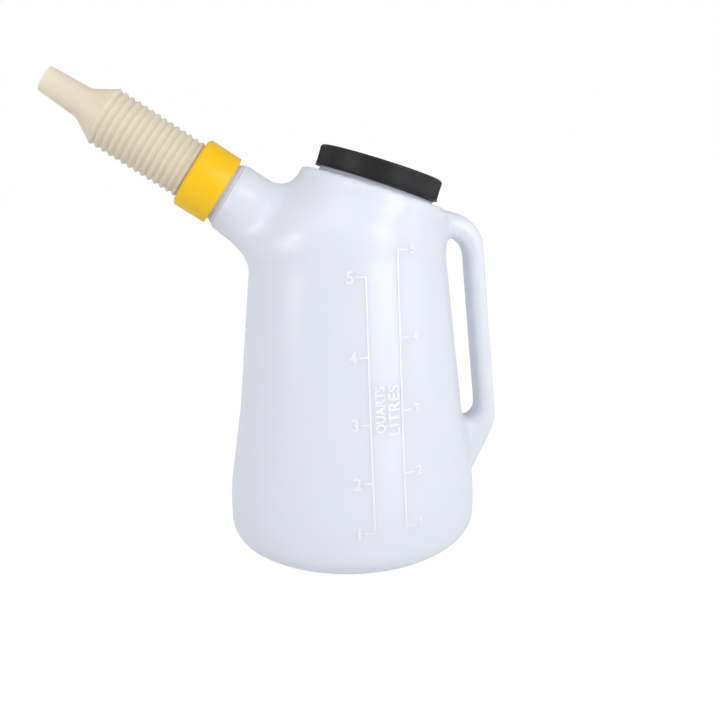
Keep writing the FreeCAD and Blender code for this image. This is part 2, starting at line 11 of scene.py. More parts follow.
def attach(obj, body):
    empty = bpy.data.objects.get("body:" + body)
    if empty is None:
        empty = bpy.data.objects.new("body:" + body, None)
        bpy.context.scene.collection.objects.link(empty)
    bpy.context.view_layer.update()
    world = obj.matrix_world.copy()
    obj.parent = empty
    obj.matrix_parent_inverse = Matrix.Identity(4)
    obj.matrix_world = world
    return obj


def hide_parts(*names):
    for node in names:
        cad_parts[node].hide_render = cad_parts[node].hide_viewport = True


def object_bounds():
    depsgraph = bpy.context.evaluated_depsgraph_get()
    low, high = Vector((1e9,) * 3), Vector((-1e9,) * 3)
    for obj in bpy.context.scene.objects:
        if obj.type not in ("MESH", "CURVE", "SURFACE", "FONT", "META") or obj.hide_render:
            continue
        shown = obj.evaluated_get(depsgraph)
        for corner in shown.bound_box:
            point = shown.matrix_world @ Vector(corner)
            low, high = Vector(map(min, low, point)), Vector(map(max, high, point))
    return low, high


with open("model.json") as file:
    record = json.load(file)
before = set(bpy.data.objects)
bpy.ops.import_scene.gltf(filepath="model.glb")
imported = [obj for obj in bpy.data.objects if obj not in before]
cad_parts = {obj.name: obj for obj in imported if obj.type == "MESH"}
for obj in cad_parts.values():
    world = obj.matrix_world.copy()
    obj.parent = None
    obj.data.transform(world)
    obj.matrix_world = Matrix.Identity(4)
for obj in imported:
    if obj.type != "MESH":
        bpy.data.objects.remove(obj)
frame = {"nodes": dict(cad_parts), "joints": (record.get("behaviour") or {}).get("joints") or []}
cad_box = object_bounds()
MM = 0.001

# --- Camera -----------------------------------------------------------------------------------------
# The jug is seen from the front and a little from the spout's side, from just above its mouth.
# The camera leans a little, so that the jug stands nearly upright in the picture.

CAMERA_AT = Vector((-0.0880, -0.6053, 0.2987))
CAMERA_YAW = radians(9.0)
CAMERA_PITCH = radians(14.04)
CAMERA_ROLL = radians(0.99)
CAMERA_LENS = 39.67

look = Vector((sin(CAMERA_YAW) * cos(CAMERA_PITCH), cos(CAMERA_YAW) * cos(CAMERA_PITCH), -sin(CAMERA_PITCH)))
camera = bpy.data.objects.new("camera", bpy.data.cameras.new("camera"))
camera.data.sensor_width = 36.0
camera.data.lens = CAMERA_LENS
camera.location = CAMERA_AT
camera.rotation_mode = "QUATERNION"
camera.rotation_quaternion = Quaternion(look, CAMERA_ROLL) @ look.to_track_quat("-Z", "Y")
bpy.context.scene.collection.objects.link(camera)
bpy.context.scene.camera = camera
bpy.context.scene.view_settings.view_transform = "Standard"

# --- Floor and light --------------------------------------------------------------------------------
# A white paper floor that runs out of sight in an even white room. Tall soft lamps on each side of the viewer
# draw the jug's soft upright highlights, and one from above lights its shoulder.

FLOOR_SIZE = 12.0
FLOOR_LIFT = 0.86
ROOM_LIGHT = 0.51
PAPER = (0.30, 0.30, 0.305, 1)
PAPER_BOUNCE = (0.80, 0.80, 0.80, 1)
LAMP_AIM = (0.0, 0.0, 0.24)


def new_material(name):
    """An empty node material: its nodes, its links and its output."""
    material = bpy.data.materials.new(name)
    material.use_nodes = True
    nodes = material.node_tree.nodes
    nodes.clear()
    return material, nodes, material.node_tree.links, nodes.new("ShaderNodeOutputMaterial")


def either_ray(nodes, links, first, second):
    """A socket that is 1 for rays of either kind and 0 for all others."""
    path = nodes.new("ShaderNodeLightPath")
    seen = nodes.new("ShaderNodeMath")
    seen.operation = "MAXIMUM"
    links.new(path.outputs[first], seen.inputs[0])
    links.new(path.outputs[second], seen.inputs[1])
    return seen.outputs[0]


paper, nodes, links, output = new_material("white_paper")
diffuse = nodes.new("ShaderNodeBsdfDiffuse")
diffuse.inputs["Color"].default_value = PAPER
lift = nodes.new("ShaderNodeEmission")
lift.inputs["Strength"].default_value = FLOOR_LIFT
both = nodes.new("ShaderNodeAddShader")
links.new(diffuse.outputs[0], both.inputs[0])
links.new(lift.outputs[0], both.inputs[1])
bounce = nodes.new("ShaderNodeBsdfDiffuse")
bounce.inputs["Color"].default_value = PAPER_BOUNCE
choose = nodes.new("ShaderNodeMixShader")
links.new(either_ray(nodes, links, "Is Camera Ray", "Is Glossy Ray"), choose.inputs["Fac"])
links.new(bounce.outputs[0], choose.inputs[1])
links.new(both.outputs[0], choose.inputs[2])
links.new(choose.outputs[0], output.inputs["Surface"])

bpy.ops.mesh.primitive_plane_add(size=FLOOR_SIZE)
floor = bpy.context.object
floor.name = "floor"
floor.data.materials.append(paper)

world = bpy.data.worlds.new("white_room")
bpy.context.scene.world = world
world.use_nodes = True
nodes = world.node_tree.nodes
links = world.node_tree.links
nodes.clear()
strength = nodes.new("ShaderNodeMapRange")
strength.inputs["To Min"].default_value = ROOM_LIGHT
strength.inputs["To Max"].default_value = 1.0
links.new(either_ray(nodes, links, "Is Camera Ray", "Is Transmission Ray"), strength.inputs["Value"])
room = nodes.new("ShaderNodeBackground")
room.inputs["Color"].default_value = (1, 1, 1, 1)
links.new(strength.outputs[0], room.inputs["Strength"])
links.new(room.outputs[0], nodes.new("ShaderNodeOutputWorld").inputs["Surface"])


def softbox(name, at, target, width, height, watts):
    """A rectangular lamp that faces a point."""
    lamp = bpy.data.objects.new(name, bpy.data.lights.new(name, "AREA"))
    lamp.data.shape = "RECTANGLE"
    lamp.data.size = width
    lamp.data.size_y = height
    lamp.data.energy = watts
    lamp.location = at
    lamp.rotation_mode = "QUATERNION"
    lamp.rotation_quaternion = (Vector(target) - Vector(at)).to_track_quat("-Z", "Y")
    bpy.context.scene.collection.objects.link(lamp)


MIDDLE = (cad_box[0] + cad_box[1]) / 2
softbox("right_lamp", (0.72, -1.15, 0.62), LAMP_AIM, 0.56, 1.10, 9.2)
softbox("left_lamp", (-1.26, -0.61, 0.66), LAMP_AIM, 0.40, 0.90, 5.6)
softbox("side_lamp", (1.25, -0.56, 0.50), LAMP_AIM, 0.40, 0.90, 2.4)
softbox("top_lamp", (-0.45, -0.60, 1.30), MIDDLE, 0.7, 0.7, 2.0)

# --- Jug --------------------------------------------------------------------------------------------
# One blow-moulding of natural polyethylene: a tapering oval body with a hollow handle, a slanted neck for the
# lid and a stub for the spout. The wall is about two millimetres thick all over, and the handle's roots run
# softly into it.

JUG_WALL = 2.0 * MM
JUG_FACE = 2.55 * MM
NECK_TRIM = 0.8 * MM
HANDLE_ROOTS = (Vector((0.079, 0, 0.249)), Vector((0.093, 0, 0.083)))
ROOT_REACH = 40 * MM
FLARE_REACH = 34 * MM
FLARE_FROM_MOUTH = (48 * MM, 56 * MM)
FLARE_FACING = (1.5, 2.2)
STUB_ROOT_FULLER = 5.4 * MM
STUB_ROOT_AT = 239.5 * MM
STUB_ROOT_REACH = 14.5 * MM
STUB_ROOT_FACING = 1.5
STUB_ROOT_FALL = 4
STUB_SIDE = -30 * MM
STUB_EASE = 12 * MM
STUB_TRIM = 25.2 * MM
SHOULDER_DROP = 2.2 * MM
SHOULDER_DROP_AT = (49 * MM, 64 * MM)
SHOULDER_DROP_DOWN = (6 * MM, 12 * MM, 36 * MM, 60 * MM)
SHOULDER_SOFT = (200 * MM, 216 * MM, 250 * MM, 266 * MM)
FRONT_WALL = -50 * MM
SCALE_MIDDLE = 14 * MM
SCALE_HALF = 26 * MM
# How often each part of the shell is smoothed, and how far each pass pushes it back so that it doesn't shrink.
GRAIN_PASSES, SHOULDER_PASSES, FRONT_PASSES, FLARE_PASSES, ROOT_PASSES = 6, 110, 40, 150, 120
EVEN_PUSH = 0.52
SOFT_PUSH = 0.507
MILKY = (0.882, 0.898, 0.950, 1)
MILKY_DEEP = (0.866, 0.883, 0.940, 1)
MILKY_THROUGH = (0.95, 0.965, 1.0, 1)


def axis_of(name):
    """A point on a hinge's axis, and the axis."""
    hinge = next(joint for joint in frame["joints"] if joint["name"] == name)
    return np.array(hinge["pos_m"]), np.array(hinge["axis"]) / np.linalg.norm(hinge["axis"])


def corners(form):
    """Where the corners of a bmesh are."""
    return np.array([vertex.co for vertex in form.verts])


def skins_of(form):
    """The faces of each connected skin of a bmesh, the skin with the most room first."""
    found = []
    left = set(form.faces)
    while left:
        skin, waiting = set(), [left.pop()]
        while waiting:
            face = waiting.pop()
            skin.add(face)
            near = {other for edge in face.edges for other in edge.link_faces} & left
            left -= near
            waiting.extend(near)
        found.append(skin)
    return sorted(found, key=lambda skin: -sum(face.calc_area() for face in skin))


def object_from(form, name, keep=None):
    """An object with the bmesh's mesh, or with some of its faces only."""
    if keep is not None:
        bmesh.ops.delete(form, geom=[face for face in form.faces if face not in keep], context="FACES")
    mesh = bpy.data.meshes.new(name)
    form.to_mesh(mesh)
    form.free()
    piece = bpy.data.objects.new(name, mesh)
    bpy.context.scene.collection.objects.link(piece)
    return piece


def settle(piece):
    """Turns what a piece's modifiers make into its own plain mesh."""
    bpy.context.view_layer.update()
    mesh = bpy.data.meshes.new_from_object(piece.evaluated_get(bpy.context.evaluated_depsgraph_get()))
    piece.modifiers.clear()
    piece.data = mesh
    return piece


def to_middle(points, edges):
    """The way from each point to the middle of its neighbours."""
    ends = np.concatenate([edges, edges[:, ::-1]])
    count = np.bincount(ends[:, 0], minlength=len(points))[:, None]
    there = points[ends[:, 1]]
    total = np.stack([np.bincount(ends[:, 0], there[:, k], len(points)) for k in range(3)], axis=1)
    return total / count - points


def smoothed(points, edges, share, passes, push):
    """Points drawn to the middle of their neighbours and pushed part of the way back, over and over."""
    for _ in range(passes):
        for step in (0.5, -push):
            points = points + step * share[:, None] * to_middle(points, edges)
    return points


def filled(points, edges, normals, share, passes):
    """Points drawn to the middle of their neighbours, but only outwards, so that hollow corners fill up."""
    for _ in range(passes):
        rise = np.sum(to_middle(points, edges) * normals, axis=1)
        points = points + (0.5 * share * np.maximum(rise, 0))[:, None] * normals
    return points


MOUTH, MOUTH_AXIS = axis_of("lid_turn")
SPOUT, SPOUT_AXIS = axis_of("collar_turn")

solid = bmesh.new()
solid.from_mesh(frame["nodes"]["jug_body"].data)
bmesh.ops.remove_doubles(solid, verts=solid.verts, dist=1e-6)
rims = []
for centre, axis in ((MOUTH, MOUTH_AXIS), (SPOUT, SPOUT_AXIS)):
    rim = ((corners(solid) - centre) @ axis).max()
    rims.append((centre + axis * rim, axis))
    flat = [face for face in solid.faces if all((np.array(v.co) - centre) @ axis > rim - 1e-5 for v in face.verts)]
    bmesh.ops.delete(solid, geom=flat, context="FACES")

# What the jug holds up to a height is worked out on the inner skin: a sum of upright prisms.
outer_skin, inner_skin = skins_of(solid)[:2]
inside = np.array([(*face.calc_center_median(), face.normal.z * face.calc_area()) for face in inner_skin])


def held_below(height):
    """What the jug holds up to a height, in cubic metres."""
    return float(np.sum(np.maximum(height - inside[:, 2], 0) * inside[:, 3]))


shell = object_from(solid, "jug_shell", outer_skin)
form = bmesh.new()
form.from_mesh(shell.data)
bmesh.ops.holes_fill(form, edges=[edge for edge in form.edges if edge.is_boundary], sides=0)
form.to_mesh(shell.data)
form.free()
grain = shell.modifiers.new("grain", "REMESH")
grain.mode = "VOXEL"
grain.voxel_size = JUG_FACE
settle(shell)

points = np.empty(len(shell.data.vertices) * 3)
shell.data.vertices.foreach_get("co", points)
points = points.reshape(-1, 3)
edges = np.empty(len(shell.data.edges) * 2, dtype=int)
shell.data.edges.foreach_get("vertices", edges)
edges = edges.reshape(-1, 2)
points = smoothed(points, edges, np.ones(len(points)), GRAIN_PASSES, EVEN_PUSH)
# The stub's underside runs into the wall in a fuller sweep than its fillet.
under = np.array(SPOUT_AXIS[[0, 2]] * (1, -1))
normals = np.empty(len(points) * 3)
shell.data.vertex_normals.foreach_get("vector", normals)
normals = normals.reshape(-1, 3)
facing = np.clip(normals[:, [0, 2]] @ under, 0, 1) ** STUB_ROOT_FACING * (points[:, 0] < STUB_SIDE)
off_root = (points[:, 2] - STUB_ROOT_AT) / STUB_ROOT_REACH
points[:, 0] -= STUB_ROOT_FULLER * facing * np.exp(-(off_root ** STUB_ROOT_FALL))
# Under the lid the shoulder lies lower, so that a strip of the mouth's neck shows.
from_mouth = points - rims[0][0]
below_mouth = -(from_mouth @ MOUTH_AXIS)
off_mouth = np.linalg.norm(from_mouth + below_mouth[:, None] * MOUTH_AXIS, axis=1)
dropped = np.interp(off_mouth, SHOULDER_DROP_AT, (1, 0))
dropped = dropped * np.interp(below_mouth, SHOULDER_DROP_DOWN, (0, 1, 1, 0))
points -= SHOULDER_DROP * dropped[:, None] * MOUTH_AXIS
below_rim = -((points - rims[1][0]) @ SPOUT_AXIS)
soft = np.interp(points[:, 2], SHOULDER_SOFT, (0, 1, 1, 0)) * np.clip((below_rim - STUB_TRIM) / STUB_EASE, 0, 1)
points = smoothed(points, edges, soft, SHOULDER_PASSES, SOFT_PUSH)
# The wall behind the volume scale is made even.
front = (points[:, 1] < FRONT_WALL) & (np.abs(points[:, 0] - SCALE_MIDDLE) < SCALE_HALF)
points = smoothed(points, edges, front.astype(float), FRONT_PASSES, EVEN_PUSH)
# The handle's sides flare into the wall at both ends of the grip, but not under the lid.
away = np.min([np.linalg.norm(points - root, axis=1) for root in HANDLE_ROOTS], axis=0)
upright = np.clip(FLARE_FACING[0] - FLARE_FACING[1] * np.abs(normals[:, 2]), 0, 1)
clear_of_lid = np.interp(off_mouth, FLARE_FROM_MOUTH, (0, 1))
near_root = np.clip(2.0 - 2.0 * away / FLARE_REACH, 0, 1)
points = filled(points, edges, normals, near_root * upright * clear_of_lid, FLARE_PASSES)
for root in HANDLE_ROOTS:
    away = np.linalg.norm(points - root, axis=1)
    near_root = np.clip(2.0 - 2.0 * away / ROOT_REACH, 0, 1)
    points = smoothed(points, edges, near_root, ROOT_PASSES, SOFT_PUSH)
shell.data.vertices.foreach_set("co", points.ravel())

form = bmesh.new()
form.from_mesh(shell.data)
for (centre, axis), trim in zip(rims, (NECK_TRIM, STUB_TRIM)):
    whole = form.verts[:] + form.edges[:] + form.faces[:]
    bmesh.ops.bisect_plane(form, geom=whole, plane_co=centre - axis * trim, plane_no=axis, clear_outer=True)
bmesh.ops.recalc_face_normals(form, faces=form.faces)
wall_front = BVHTree.FromBMesh(form)
form.to_mesh(shell.data)
form.free()
wall = shell.modifiers.new("wall", "SOLIDIFY")
wall.thickness = JUG_WALL
wall.offset = -1
settle(shell)


def shade(piece, material, angle=40):
    """A piece's material, and smooth shading that keeps its sharp edges."""
    piece.data.materials.clear()
    piece.data.materials.append(material)
    piece.data.shade_smooth()
    piece.data.set_sharp_from_angle(angle=radians(angle))


# Moulded plastic: a fine skin from the mould's own surface, and slow clouds of tone in the material.
moulded = bpy.data.node_groups.new("moulded_skin", "ShaderNodeTree")
for label, low in (("Skin Scale", 900.0), ("Cloud Scale", 14.0), ("Roughness", 0.35), ("Roughness Swing", 0.06)):
    moulded.interface.new_socket(label, in_out="INPUT", socket_type="NodeSocketFloat").default_value = low
for label in ("Height", "Roughness", "Cloud"):
    moulded.interface.new_socket(label, in_out="OUTPUT", socket_type="NodeSocketFloat")
nodes, links = moulded.nodes, moulded.links
given = nodes.new("NodeGroupInput")
made = nodes.new("NodeGroupOutput")
place = nodes.new("ShaderNodeTexCoord")
skin = nodes.new("ShaderNodeTexNoise")
skin.inputs["Detail"].default_value = 3.0
links.new(place.outputs["Object"], skin.inputs["Vector"])
links.new(given.outputs["Skin Scale"], skin.inputs["Scale"])
cloud = nodes.new("ShaderNodeTexNoise")
cloud.inputs["Detail"].default_value = 2.0
links.new(place.outputs["Object"], cloud.inputs["Vector"])
links.new(given.outputs["Cloud Scale"], cloud.inputs["Scale"])
swing = nodes.new("ShaderNodeMath")
swing.operation = "MULTIPLY_ADD"
links.new(cloud.outputs["Fac"], swing.inputs[0])
links.new(given.outputs["Roughness Swing"], swing.inputs[1])
links.new(given.outputs["Roughness"], swing.inputs[2])
links.new(skin.outputs["Fac"], made.inputs["Height"])
links.new(swing.outputs[0], made.inputs["Roughness"])
links.new(cloud.outputs["Fac"], made.inputs["Cloud"])


def plastic(name, colour, deep, values, bump, gloss, through=None, share=0.0):
    """A moulded plastic: two tones, its skin, and how much of the light behind it comes through."""
    material, nodes, links, output = new_material(name)
    skin = nodes.new("ShaderNodeGroup")
    skin.node_tree = moulded
    for label, number in values.items():
        skin.inputs[label].default_value = number
    tone = nodes.new("ShaderNodeMix")
    tone.data_type = "RGBA"
    tone.inputs["A"].default_value = deep
    tone.inputs["B"].default_value = colour
    links.new(skin.outputs["Cloud"], tone.inputs["Factor"])
    relief = nodes.new("ShaderNodeBump")
    relief.inputs["Distance"].default_value = bump
    relief.inputs["Strength"].default_value = 0.6
    links.new(skin.outputs["Height"], relief.inputs["Height"])
    face = nodes.new("ShaderNodeBsdfPrincipled")
    face.inputs["IOR"].default_value = 1.52
    face.inputs["Specular IOR Level"].default_value = gloss
    links.new(tone.outputs["Result"], face.inputs["Base Color"])
    links.new(skin.outputs["Roughness"], face.inputs["Roughness"])
    links.new(relief.outputs["Normal"], face.inputs["Normal"])
    if through is None:
        links.new(face.outputs[0], output.inputs["Surface"])
        return material
    glow = nodes.new("ShaderNodeBsdfTranslucent")
    glow.inputs["Color"].default_value = through
    links.new(relief.outputs["Normal"], glow.inputs["Normal"])
    mix = nodes.new("ShaderNodeMixShader")
    mix.inputs["Fac"].default_value = share
    links.new(face.outputs[0], mix.inputs[1])
    links.new(glow.outputs[0], mix.inputs[2])
    links.new(mix.outputs[0], output.inputs["Surface"])
    return material


MILKY_SKIN = {"Skin Scale": 420.0, "Cloud Scale": 16.0, "Roughness": 0.27, "Roughness Swing": 0.03}
milky = plastic("milky_polyethylene", MILKY, MILKY_DEEP, MILKY_SKIN, 0.06 * MM, 0.72, MILKY_THROUGH, share=0.42)
shade(shell, milky, 60)
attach(shell, "jug")
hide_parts("jug_body")

# --- Volume scale -----------------------------------------------------------------------------------
# Two upright lines with five marks each, raised on the front wall by the mould: US quarts on the left and
# litres on the right, with the two units' names between them. Each mark stands where the jug holds as much.

QUART = 0.946353e-3
LITRE = 1e-3
SCALE_RELIEF = 0.55 * MM
SCALE_EDGE = 0.2 * MM
LINE_WIDTH = 1.0 * MM
MARK_LENGTH = 7.0 * MM
POINT_STEP = 3.0 * MM
CAP_SHARE = 0.70
LETTER_SPACE = 1.08
LETTER_FULLER = 0.22 * MM
NUMERAL_HALF = 0.32
# The marks are the same milky plastic as the wall but coloured whiter: a painted highlight for the light their
# raised faces catch.
PAINTED_LIT_MARK = (0.950, 0.957, 0.980, 1)
PAINTED_LIT_MARK_DEEP = (0.940, 0.950, 0.975, 1)
# Each unit: its size, its line's place, the side its marks are on, its numerals' height and the gap before them.
SCALES = ((QUART, 1.9 * MM, -1, 8.6 * MM, 1.4 * MM), (LITRE, 25.7 * MM, 1, 6.8 * MM, 2.5 * MM))

heights = np.arange(0.002, 0.262, 0.001)
volumes = np.array([held_below(height) for height in heights])
scale = bmesh.new()


def raise_on_wall(flat):
    """Adds a flat thing to the scale: its own X and Y run along the wall, its Z stands off it."""
    for vertex in flat.vertices:
        across, up, off = vertex.co
        wall_at = wall_front.ray_cast(Vector((across, -1, up)), Vector((0, 1, 0)))[0].y
        vertex.co = (across, wall_at - off, up)
    scale.from_mesh(flat)


def raised(curve):
    """The mesh of a flat curve that stands off the wall with a soft edge."""
    curve.dimensions = "2D"
    curve.fill_mode = "BOTH"
    curve.extrude = SCALE_RELIEF - SCALE_EDGE
    curve.bevel_depth = SCALE_EDGE
    curve.bevel_resolution = 1
    thing = bpy.data.objects.new(curve.name, curve)
    bpy.context.scene.collection.objects.link(thing)
    bpy.context.view_layer.update()
    mesh = bpy.data.meshes.new_from_object(thing.evaluated_get(bpy.context.evaluated_depsgraph_get()))
    bpy.data.objects.remove(thing)
    return mesh


def raise_bar(left, right, low, high):
    """An upright or level bar of the scale."""
    steps = max(1, round((high - low) / POINT_STEP))
    rise = [low + (high - low) * step / steps for step in range(steps + 1)]
    outline = [(left, z) for z in rise] + [(right, z) for z in reversed(rise)]
    curve = bpy.data.curves.new("bar", "CURVE")
    spline = curve.splines.new("POLY")
    spline.points.add(len(outline) - 1)
    for point, (across, up) in zip(spline.points, outline):
        point.co = (across, up, 0, 1)
    spline.use_cyclic_u = True
    raise_on_wall(raised(curve))


def raise_word(word, height, across, up, turn=0.0, stretch=1.0):
    """A numeral or a word of a given cap height, its middle at a point of the wall."""
    letters = bpy.data.curves.new("letters", "FONT")
    letters.body = word
    letters.align_x = "CENTER"
    letters.align_y = "CENTER"
    letters.size = height / CAP_SHARE
    letters.space_character = LETTER_SPACE
    letters.offset = LETTER_FULLER
    flat = raised(letters)
    box = [(min(v.co[k] for v in flat.vertices) + max(v.co[k] for v in flat.vertices)) / 2 for k in (0, 1)]
    flat.transform(Matrix.Diagonal((stretch, 1, 1, 1)) @ Matrix.Translation((-box[0], -box[1], 0)))
    flat.transform(Matrix.Translation((across, up, 0)) @ Matrix.Rotation(turn, 4, "Z"))
    raise_on_wall(flat)


for unit, line_at, side, cap, gap in SCALES:
    levels = np.interp([unit * count for count in range(1, 6)], volumes, heights)
    low, high = levels[0] - LINE_WIDTH / 2, levels[-1] + LINE_WIDTH / 2
    raise_bar(line_at - LINE_WIDTH / 2, line_at + LINE_WIDTH / 2, low, high)
    for count, level in enumerate(levels, start=1):
        start, finish = sorted((line_at + side * LINE_WIDTH / 2, line_at + side * MARK_LENGTH))
        raise_bar(start, finish, level - LINE_WIDTH / 2, level + LINE_WIDTH / 2)
        numeral_at = line_at + side * (MARK_LENGTH + gap + cap * NUMERAL_HALF)
        raise_word(str(count), cap, numeral_at, level)
    if side < 0:
        third = levels[2]
raise_word("QUARTS", 6.9 * MM, 9.8 * MM, third + 10 * MM, pi / 2, 0.84)
raise_word("LITRES", 8.2 * MM, 19.5 * MM, third + 9 * MM, pi / 2, 1.02)
bmesh.ops.remove_doubles(scale, verts=scale.verts, dist=1e-7)
bmesh.ops.recalc_face_normals(scale, faces=scale.faces)
volume_scale = object_from(scale, "volume_scale")
# Painted highlight: the marks' plastic is a whiter tone than the wall's.
painted_highlight_marks = plastic("milky_raised", PAINTED_LIT_MARK, PAINTED_LIT_MARK_DEEP, MILKY_SKIN, 0.02 * MM, 0.72, MILKY_THROUGH, share=0.3)
shade(volume_scale, painted_highlight_marks)
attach(volume_scale, "jug")

# --- Screw threads ----------------------------------------------------------------------------------
# Rounded ridges that climb both necks and the insides of the lid and the ring nut. A ridge of the cap runs
# half a turn's climb from the neck's, so the two pass each other as the cap is unscrewed.

THREAD_LEAD = 6.0 * MM

threads = bpy.data.node_groups.new("screw_thread", "GeometryNodeTree")
threads.is_modifier = True
THREAD_SIZES = {"Radius": 0.02, "Bead": 0.001, "Lead": THREAD_LEAD, "Turns": 1.2}
for label, number in THREAD_SIZES.items():
    threads.interface.new_socket(label, in_out="INPUT", socket_type="NodeSocketFloat").default_value = number
threads.interface.new_socket("Material", in_out="INPUT", socket_type="NodeSocketMaterial")
threads.interface.new_socket("Geometry", in_out="OUTPUT", socket_type="NodeSocketGeometry")


def add(tree, kind, operation=None, **wired):
    """A node of a tree, with its operation, and its inputs wired or set by name, or by place as in_0."""
    node = tree.nodes.new(kind)
    if operation:
        node.operation = operation
    for label, source in wired.items():
        socket = node.inputs[int(label[3:])] if label.startswith("in_") else node.inputs[label.replace("_", " ")]
        if isinstance(source, bpy.types.NodeSocket):
            tree.links.new(source, socket)
        else:
            socket.default_value = source
    return node


given = threads.nodes.new("NodeGroupInput").outputs
climb = add(threads, "ShaderNodeMath", "MULTIPLY", in_0=given["Lead"], in_1=given["Turns"]).outputs[0]
coil = add(
    threads, "GeometryNodeCurveSpiral", Resolution=72, Rotations=given["Turns"], Start_Radius=given["Radius"],
    End_Radius=given["Radius"], Height=climb,
)
along = threads.nodes.new("GeometryNodeSplineParameter").outputs["Factor"]
back = add(threads, "ShaderNodeMath", "SUBTRACT", in_0=1.0, in_1=along).outputs[0]
nearer = add(threads, "ShaderNodeMath", "MINIMUM", in_0=along, in_1=back).outputs[0]
taper = add(threads, "ShaderNodeMapRange", in_0=nearer, in_1=0.0, in_2=0.08, in_3=0.05, in_4=1.0).outputs[0]
bead_size = add(threads, "ShaderNodeMath", "MULTIPLY", in_0=taper, in_1=given["Bead"]).outputs[0]
ring = add(threads, "GeometryNodeCurvePrimitiveCircle", Resolution=10, Radius=1.0)
ridge = add(
    threads, "GeometryNodeCurveToMesh", Curve=coil.outputs[0], Profile_Curve=ring.outputs[0], Scale=bead_size,
    Fill_Caps=True,
)
real = add(threads, "GeometryNodeRealizeInstances", Geometry=ridge.outputs[0])
dressed = add(threads, "GeometryNodeSetMaterial", Geometry=real.outputs[0], Material=given["Material"])
threads.links.new(dressed.outputs[0], threads.nodes.new("NodeGroupOutput").inputs[0])


def grown(name, tree, material, **numbers):
    """The plain mesh that a Geometry Nodes tree makes, as an object."""
    piece = bpy.data.objects.new(name, bpy.data.meshes.new(name))
    bpy.context.scene.collection.objects.link(piece)
    piece.data.materials.append(material)
    maker = piece.modifiers.new(tree.name, "NODES")
    maker.node_group = tree
    for item in tree.interface.items_tree:
        if item.in_out == "INPUT":
            maker[item.identifier] = material if item.name == "Material" else numbers[item.name.replace(" ", "_")]
    return settle(piece)


def stand(piece, centre, axis, lift):
    """Puts a piece made round Z on an axis, its origin a distance along it. The place goes into its mesh."""
    turn = Vector((0, 0, 1)).rotation_difference(Vector(axis)).to_matrix().to_4x4()
    piece.data.transform(Matrix.Translation(Vector(centre + axis * lift)) @ turn)
    return piece


def add_thread(name, body, material, neck, radius, bead, start, turns):
    """A thread on a neck, or in what screws on it, that starts a distance below the neck's rim."""
    centre, axis = neck
    ridge = grown(name, threads, material, Radius=radius, Bead=bead, Lead=THREAD_LEAD, Turns=turns)
    form = bmesh.new()
    form.from_mesh(ridge.data)
    bmesh.ops.recalc_face_normals(form, faces=form.faces)
    form.to_mesh(ridge.data)
    form.free()
    stand(ridge, centre, axis, -start)
    shade(ridge, material, 70)
    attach(ridge, body)


def reach(node, centre, axis):
    """How far a node reaches from an axis, and its lowest and highest place along it."""
    here = np.array([vertex.co for vertex in frame["nodes"][node].data.vertices]) - centre
    along_it = here @ axis
    off = np.linalg.norm(here - along_it[:, None] * axis, axis=1)
    return off.min(), off.max(), along_it.min(), along_it.max()


MOUTH_RIM, SPOUT_RIM = rims
MOUTH_NECK_RADIUS = reach("lid_liner", *MOUTH_RIM)[1]
SPOUT_NECK_RADIUS = 22.6 * MM
add_thread(
    "mouth_thread", "jug", milky, MOUTH_RIM, MOUTH_NECK_RADIUS, bead=1.0 * MM,
    start=10.0 * MM, turns=1.3,
)
add_thread(
    "spout_thread", "jug", milky, SPOUT_RIM, SPOUT_NECK_RADIUS, bead=1.1 * MM,
    start=17.0 * MM, turns=2.2,
)

# --- Lid --------------------------------------------------------------------------------------------
# A moulded screw lid of black plastic with a flat top and a rounded edge. Its skirt is ribbed for grip in two
# slants that cross in fine diamonds, over a thin bead round its lower edge.

LID_SEGMENTS = 144
LID_SKIRT = 1.9 * MM
LID_TOP = 2.0 * MM
LID_EDGE = 1.6 * MM
BEAD_HEIGHT = 1.1 * MM
BEAD_REACH = 0.9 * MM
RIB_COUNT = 150
RIB_SLANT = radians(30)
RIB_THICKNESS = 0.34 * MM
RIB_SUNK = 0.08 * MM
BLACK = (0.0070, 0.0070, 0.0085, 1)
BLACK_WORN = (0.0100, 0.0100, 0.0120, 1)

BLACK_SKIN = {"Skin Scale": 1500.0, "Cloud Scale": 30.0, "Roughness": 0.40, "Roughness Swing": 0.10}
black = plastic("black_lid_plastic", BLACK, BLACK_WORN, BLACK_SKIN, 0.03 * MM, 0.36)


def arc(across, up, radius, start, finish, steps=5):
    """Points of an arc in an outline of radius and height."""
    turns = [radians(start + (finish - start) * step / steps) for step in range(steps + 1)]
    return [(across + radius * cos(turn), up + radius * sin(turn)) for turn in turns]


def turned(name, outline, segments):
    """A closed outline of radius and height, turned about Z."""
    form = bmesh.new()
    rings = []
    for step in range(segments):
        turn = 2 * pi * step / segments
        rings.append([form.verts.new((r * cos(turn), r * sin(turn), z)) for r, z in outline])
    for ring, after in zip(rings, rings[1:] + rings[:1]):
        for k in range(len(outline)):
            form.faces.new((ring[k - 1], ring[k], after[k], after[k - 1]))
    bmesh.ops.remove_doubles(form, verts=form.verts, dist=1e-7)
    bmesh.ops.dissolve_degenerate(form, dist=1e-8, edges=form.edges)
    bmesh.ops.recalc_face_normals(form, faces=form.faces)
    return object_from(form, name)


